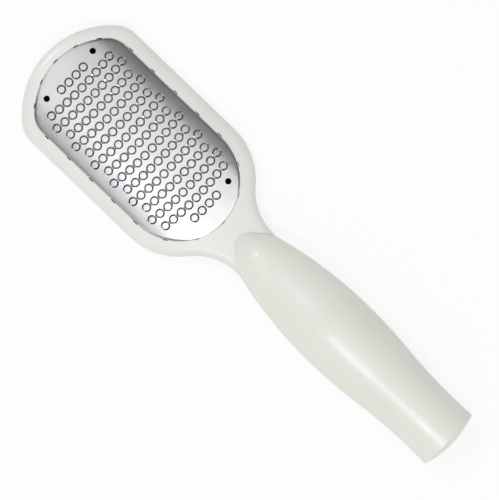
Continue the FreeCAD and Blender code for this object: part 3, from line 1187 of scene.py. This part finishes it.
@dataclass
class Grip:
    """Two hollow shells that meet on a parting plane; the front one's nose rises from the neck."""

    places: Places
    finish: MouldedPlastic
    frame: HeadFrame
    # Outline
    belly_x: float = 52.0
    rear_x: float = 106.6
    rear_half_width: float = 14.25
    end_half_width: float = 14.55
    nose_power: float = 0.57
    # Crest and belly
    nose_length: float = 17.0
    nose_rise: float = 6.9
    thumb_end_x: float = 9.0
    rear_fall: float = 2.9
    back_axis_rise: float = 8.4
    # Edges and walls
    end_round: float = 0.5
    end_dome: float = 2.3
    seam_round: float = 0.35
    seam_share: float = 0.2
    seat_gap: float = 0.04
    wall: float = 2.2
    core_share: float = 0.8
    hollow_start_x: float = 18.0
    hollow_end_inset: float = 6.5
    hollow_run: float = 2.0
    crisp_angle: float = 40.0
    # Grid
    nose_stations: int = 44
    body_stations: int = 96
    round_stations: int = 9
    cap_stations: int = 12
    arc_points: int = 44
    edge_power: float = 1.6

    @property
    def belly_rise(self) -> float:
        """Rise of the top from the nose to the belly."""
        return self.places.grip_top_z - self.frame.crest - self.nose_rise

    @property
    def edge_x(self) -> float:
        """Where the end's edge starts to round."""
        return self.places.end_x - self.end_dome - self.end_round

    def half_width(self, x: Array) -> Array:
        """Side in plan: a parabola out to the belly, two more in to the rear, a flare at the end.

        Args:
            x: Places along the grip.

        Returns:
            The half width at each.
        """
        stops = (self.places.stop_x, self.belly_x, self.rear_x, self.places.end_x)
        out, back, flare = (np.clip((x - start) / (finish - start), 0.0, 1.0)
                            for start, finish in zip(stops, stops[1:]))
        fall = np.where(back < 0.5, 2 * back ** 2, 1 - 2 * (1 - back) ** 2)
        widest = self.places.grip_half_width
        return (widest - (widest - self.frame.neck_half_width) * (1 - out) ** 2
                - (widest - self.rear_half_width) * fall
                + (self.end_half_width - self.rear_half_width) * flare ** 2)

    def foot_half_width(self, x: Array) -> Array:
        """Foot of the nose: the neck's half width times a power of the share of the nose's length.

        Args:
            x: Places along the nose.

        Returns:
            The half width at each.
        """
        start, finish = self.places.nose_x, self.places.stop_x
        share = np.clip((x - start) / (finish - start), 0.0, 1.0)
        return self.frame.neck_half_width * share ** self.nose_power

    def top(self, x: Array) -> Array:
        """Crest line: quarter sine up the nose, smooth step from the thumb to the belly, one down.

        Args:
            x: Places along the grip.

        Returns:
            The height at each.
        """
        nose = np.sin(QUARTER * np.clip((x - self.places.nose_x) / self.nose_length, 0.0, 1.0))
        return (self.frame.crest + self.nose_rise * nose
                + self.belly_rise * ease(self.thumb_end_x, self.belly_x, x)
                - self.rear_fall * ease(self.belly_x, self.rear_x, x))

    def depth(self, x: Array) -> Array:
        """Belly under the parting plane: the rise of a circle about an axis off that plane."""
        return np.hypot(self.half_width(x), self.back_axis_rise) - self.back_axis_rise

    def hollow(self, x: Array) -> Array:
        """Share of the full hollow: a smooth step up at its start, another down at its end.

        Args:
            x: Places along the grip.

        Returns:
            The share at each.
        """
        finish = self.places.end_x - self.hollow_end_inset
        rise = ease(self.hollow_start_x, self.hollow_start_x + self.hollow_run, x)
        return rise * (1 - ease(finish - self.hollow_run, finish, x))

    def section(self, x: Array, half_width: Array, height: Array, on_neck: bool,
                side: Side) -> Array:
        """Closed sections: an outer half ellipse, drawn in at the seam, and the hollow's one back.

        Args:
            x: Places of the sections.
            half_width: Half width of each.
            height: Height of each over its base.
            on_neck: True where the base is the neck's top, False where it is the parting plane.
            side: Which shell.

        Returns:
            Points by station and place round the section.
        """
        quarter = QUARTER * (1 - np.linspace(0.0, 1.0, self.arc_points) ** self.edge_power)
        angle = np.concatenate([-quarter, quarter[-2::-1]])[None]
        wide, tall = half_width[:, None], height[:, None]
        rise = tall * np.cos(angle)
        near = np.clip(1 - rise / self.seam_round, 0.0, 1.0)
        draw = np.minimum(self.seam_round, self.seam_share * wide) * (1 - np.sqrt(1 - near ** 2))
        y = wide * np.sin(angle) - np.sign(angle) * draw
        share = self.hollow(x)[:, None]
        core = QUARTER * np.linspace(1.0, -1.0, self.arc_points)[None]
        core_wide = np.maximum(wide - self.wall, self.core_share * wide * (1 - share))
        core_rise = np.maximum(tall - self.wall, 0.0) * share * np.cos(core)
        y = np.concatenate([y, core_wide * np.sin(core)], axis=1)
        rise = np.concatenate([rise, core_rise], axis=1)
        base = self.frame.top(y) + self.seat_gap if on_neck else self.places.parting_z
        return np.stack([np.broadcast_to(x[:, None], y.shape), y, base + side.value * rise], axis=2)

    def drawn_in(self, row: Array, centre: Array, dome: float) -> Array:
        """Copies of a section that shrink to a point, and rise as one less the share squared."""
        share = np.linspace(1.0, 0.0, self.cap_stations)[1:, None, None]
        return centre + (row - centre)[None] * share + np.array([dome, 0.0, 0.0]) * (1 - share ** 2)

    def end_rows(self, side: Side, height: float, half_width: float) -> Array:
        """End's rounded edge as a quarter circle, then the end drawn in to a point on a dome.

        Args:
            side: Which shell.
            height: Height of the last section over the parting plane.
            half_width: Half width of the last section.

        Returns:
            Points by station and place round the section.
        """
        turn = np.linspace(0.0, QUARTER, self.round_stations)[1:]
        inset = self.end_round * (1 - np.cos(turn))
        x = self.edge_x + self.end_round * np.sin(turn)
        rows = self.section(x, half_width - inset, height - inset, False, side)
        centre = np.array([x[-1], 0.0, self.places.parting_z])
        return np.concatenate([rows, self.drawn_in(rows[-1], centre, self.end_dome)])

    def body_x(self) -> Array:
        """Stations from the stop to where the end's edge starts to round."""
        return np.linspace(self.places.stop_x, self.edge_x, self.body_stations)

    def front(self) -> Surface:
        """Front shell: the nose's sections over the neck, the body's behind it, the end.

        Returns:
            The closed shell.
        """
        start, stop = self.places.nose_x, self.frame.stop_x
        nose_x = start + (stop - start) * np.linspace(0.0, 1.0, self.nose_stations) ** 2
        nose = self.section(nose_x, self.foot_half_width(nose_x),
                            self.top(nose_x) - self.frame.crest, True, Side.FRONT)
        x = self.body_x()
        width, height = self.half_width(x), self.top(x) - self.places.parting_z
        body = self.section(x, width, height, False, Side.FRONT)
        end = self.end_rows(Side.FRONT, height[-1], width[-1])
        return Surface.from_grid(np.concatenate([nose, body, end]))

    def back(self) -> Surface:
        """Back shell: a flat start against the neck, the body's sections, the end.

        Returns:
            The closed shell.
        """
        x = self.body_x()
        width, depth = self.half_width(x), self.depth(x)
        body = self.section(x, width, depth, False, Side.BACK)
        centre = np.array([x[0], 0.0, self.places.parting_z])
        start = self.drawn_in(body[0], centre, 0.0)[::-1]
        end = self.end_rows(Side.BACK, depth[-1], width[-1])
        return Surface.from_grid(np.concatenate([start, body, end]))

    def build(self) -> list[bpy.types.Object]:
        """Make both shells.

        Returns:
            The two pieces.
        """
        material = self.finish.material()
        return [surface.to_piece(name, material, Slot.GRIP, solid, self.crisp_angle)
                for surface, name, solid in ((self.front(), "front_shell", Solid.GRIP_FRONT),
                                             (self.back(), "back_shell", Solid.GRIP_BACK))]


# The studio


@dataclass(frozen=True)
class Lamp:
    """Rectangular soft lamp aimed at the object."""

    name: str
    place: tuple[float, float, float]
    size: tuple[float, float]
    watts: float
    colour: Colour = (0.90, 0.95, 1.0)

    def build(self) -> None:
        """Make the lamp, turned so that it faces the origin."""
        data = bpy.data.lights.new(self.name, "AREA")
        data.shape = "RECTANGLE"
        data.size, data.size_y = self.size
        data.energy = self.watts
        data.color = self.colour
        place = Vector(self.place)
        turn = (-place).to_track_quat("-Z", "Y").to_matrix().to_4x4()
        new_object(self.name, data).matrix_world = Matrix.Translation(place) @ turn


@dataclass(frozen=True)
class Dip:
    """Darker side of the dome in gloss: a smooth step down along a direction in plan."""

    direction: tuple[float, float]
    start: float
    finish: float
    depth: float


@dataclass
class Studio:
    """Pale floor, painted shade under the plate's openings, a soft dome with darker sides in gloss,
    two soft lamps, a camera overhead.
    """

    plate: RaspPlate
    # Stage
    floor_half: float = 3.0
    floor_drop: float = 0.0002
    floor_colour: Colour = (0.88, 0.88, 0.87)
    floor_glow: float = 0.84
    shade_drop: float = 0.0001
    # Painted shade: the dark sheet under the plate stands in for the shade seen through its slots
    shade_colour: Colour = (0.62, 0.54, 0.59)
    # Painted shade: near-black discs under the locating holes stand in for the deep shade seen
    # through them
    hole_shade_colour: Colour = (0.02, 0.02, 0.018)
    hole_shade_radius: float = 2.6
    hole_shade_points: int = 24
    # Light
    lamps: tuple[Lamp, ...] = (
        Lamp("softbox", place=(0.24, -0.43, 1.2), size=(0.25, 0.22), watts=3.4),
        Lamp("front_fill", place=(-0.62, 0.0, 1.0), size=(0.20, 0.18), watts=3.2))
    dome_level: float = 0.645
    dome_slopes: tuple[float, float] = (0.10, -0.11)
    gloss_reach: tuple[float, float] = (-0.10, 0.0)
    gloss_levels: tuple[float, float] = (0.46, 1.72)
    gloss_slope: float = 0.10
    gloss_least: float = 0.13
    dips: tuple[Dip, ...] = (
        Dip(direction=(0.0, 1.0), start=0.39, finish=0.49, depth=1.06),
        Dip(direction=(0.0, -1.0), start=0.35, finish=0.64, depth=0.97),
        Dip(direction=(1.0, 0.0), start=0.03, finish=0.30, depth=0.62),
        Dip(direction=(6.0, 1.0), start=0.10, finish=0.24, depth=0.34))
    # Camera
    camera_distance: float = 1.30
    camera_reach: float = 20.0
    camera_turn: float = 43.9
    image_scale: float = 2.346
    aim: tuple[float, float, float] = (0.65, -0.67, 10.0)
    sensor: float = 36.0

    @staticmethod
    def flat_piece(corners: Array, level: float, material: bpy.types.Material) -> None:
        """Lay a flat face on the stage, under its material's name.

        Args:
            corners: Outline in plan, in metres.
            level: Height, in metres.
            material: Its finish.
        """
        mesh = bpy.data.meshes.new(material.name)
        points = np.column_stack([corners, np.full(len(corners), level)])
        mesh.from_pydata(points.tolist(), [], [list(range(len(corners)))])
        mesh.materials.append(material)
        new_object(material.name, mesh)

    def floor(self) -> None:
        """Flat floor that shows pale to the camera and in gloss, and still takes the shadow."""
        material = bpy.data.materials.new("floor")
        nodes = Nodes(material)
        path = nodes.add("ShaderNodeLightPath")
        seen = Value(nodes, path.outputs["Is Camera Ray"]) + path.outputs["Is Glossy Ray"]
        share = seen.clamped(0.0, 1.0) * self.floor_glow
        matt = nodes.add("ShaderNodeBsdfDiffuse", None, {"Color": rgba(self.floor_colour)})
        glow = nodes.add("ShaderNodeEmission", None, {"Color": rgba(WHITE), "Strength": 1.0})
        shaders = {0: share, 1: matt.outputs[0], 2: glow.outputs[0]}
        nodes.surface(nodes.add("ShaderNodeMixShader", None, shaders))
        corners = np.array([(-1, -1), (1, -1), (1, 1), (-1, 1)]) * self.floor_half
        self.flat_piece(corners, -self.floor_drop, material)

    def painted_shade_sheet(self, name: str, outline: Array, drop: float, colour: Colour) -> None:
        """Matt sheet of painted shade inside the head's ring, where it shows only through the
        plate's openings.

        Args:
            name: Name of the sheet.
            outline: Outline in plan, in millimetres.
            drop: Depth under the object, in metres.
            colour: Colour of the sheet's painted shade.
        """
        material = bpy.data.materials.new(name)
        nodes = Nodes(material)
        nodes.surface(nodes.add("ShaderNodeBsdfDiffuse", None, {"Color": rgba(colour)}))
        self.flat_piece(outline * MM, -drop, material)

    def shade(self) -> None:
        """Painted shade: a half dark sheet under the slots and dark discs under the locating holes.
        """
        outline = self.plate.outline(self.plate.edge_counts).looped().points
        # Painted shade: a dark sheet under the whole plate, seen only through its slots
        self.painted_shade_sheet("painted_shade_sheet", outline, self.shade_drop, self.shade_colour)
        # Painted shade: a near-black disc under each locating hole
        for number, centre in enumerate(self.plate.hole_centres()):
            disc = arc(centre, self.hole_shade_radius, 0.0, 360.0, self.hole_shade_points).points
            name = f"hole_shade_{number}"
            self.painted_shade_sheet(name, disc, self.shade_drop / 2, self.hole_shade_colour)

    def dome(self) -> None:
        """Soft surround of one level, which gloss sees brighter overhead; white behind the object.

        The level is a constant plus slopes times x and y. In gloss it rises along x between two
        levels, with a slope across, and a smooth step comes off it for each dip: to either side,
        towards the grip, and diagonally at the neck.
        """
        world = bpy.data.worlds.new("dome")
        nodes = Nodes(world)
        direction = nodes.value("ShaderNodeTexCoord", "Generated")
        parts = nodes.add("ShaderNodeSeparateXYZ", None, {0: direction})
        along, across = (Value(nodes, parts.outputs[axis]) for axis in ("X", "Y"))
        rise = nodes.value("ShaderNodeMapRange", 0, None, {
            "Value": along, "From Min": self.gloss_reach[0], "From Max": self.gloss_reach[1],
            "To Min": self.gloss_levels[0], "To Max": self.gloss_levels[1]})
        gloss = rise - across * self.gloss_slope
        for dip in self.dips:
            reach = along * dip.direction[0] + across * dip.direction[1]
            step = nodes.value("ShaderNodeMapRange", 0, {"interpolation_type": "SMOOTHSTEP"},
                               {"Value": reach, "From Min": dip.start, "From Max": dip.finish})
            gloss = gloss - step * dip.depth
        gloss = gloss.clamped(self.gloss_least, self.gloss_levels[1])
        path = nodes.add("ShaderNodeLightPath")
        seen = Value(nodes, path.outputs["Is Camera Ray"])
        plain = self.dome_level + along * self.dome_slopes[0] + across * self.dome_slopes[1]
        level = plain + (gloss - plain) * path.outputs["Is Glossy Ray"]
        strength = level * (1 - seen) + seen
        back = nodes.add("ShaderNodeBackground", None, {"Color": rgba(WHITE), "Strength": strength})
        nodes.surface(back, "ShaderNodeOutputWorld")
        bpy.context.scene.world = world

    def camera(self) -> None:
        """Camera over the object, rolled so that the tool lies from the upper left to the right."""
        data = bpy.data.cameras.new("camera")
        data.sensor_fit = "VERTICAL"
        data.sensor_height = self.sensor
        data.lens = self.image_scale * self.sensor / IMAGE_HEIGHT * self.camera_distance / MM
        data.clip_end = self.camera_reach
        camera = new_object("camera", data)
        turn = Matrix.Rotation(math.radians(self.camera_turn), 4, "Z")
        back = Matrix.Translation((0.0, 0.0, self.camera_distance))
        camera.matrix_world = Matrix.Translation(Vector(self.aim) * MM) @ turn @ back
        bpy.context.scene.camera = camera

    def build(self) -> None:
        """Set the stage."""
        bpy.context.scene.view_settings.view_transform = "Standard"
        self.floor()
        self.shade()
        self.dome()
        for lamp in self.lamps:
            lamp.build()
        self.camera()


def main() -> None:
    """Load the frame, dress it, report each piece, and set the stage."""
    logging.basicConfig(level=logging.INFO, format="%(name)s %(message)s")
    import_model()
    places = Places.from_frame()
    frame_white = MouldedPlastic("frame_white", colour=(0.786, 0.773, 0.726),
                                 cloud_colour=(0.751, 0.74, 0.691))
    plate = RaspPlate(places, SatinSteel("rolled_stainless"))
    frame = HeadFrame(places, frame_white, plate)
    grip = Grip(places, MouldedPlastic("grip_white"), frame)
    for piece in (plate.build(), frame.build(), *grip.build()):
        LOG.info("%s: %d faces", piece.name, len(piece.data.polygons))
    Studio(plate).build()


if __name__ == "__main__":
    main()
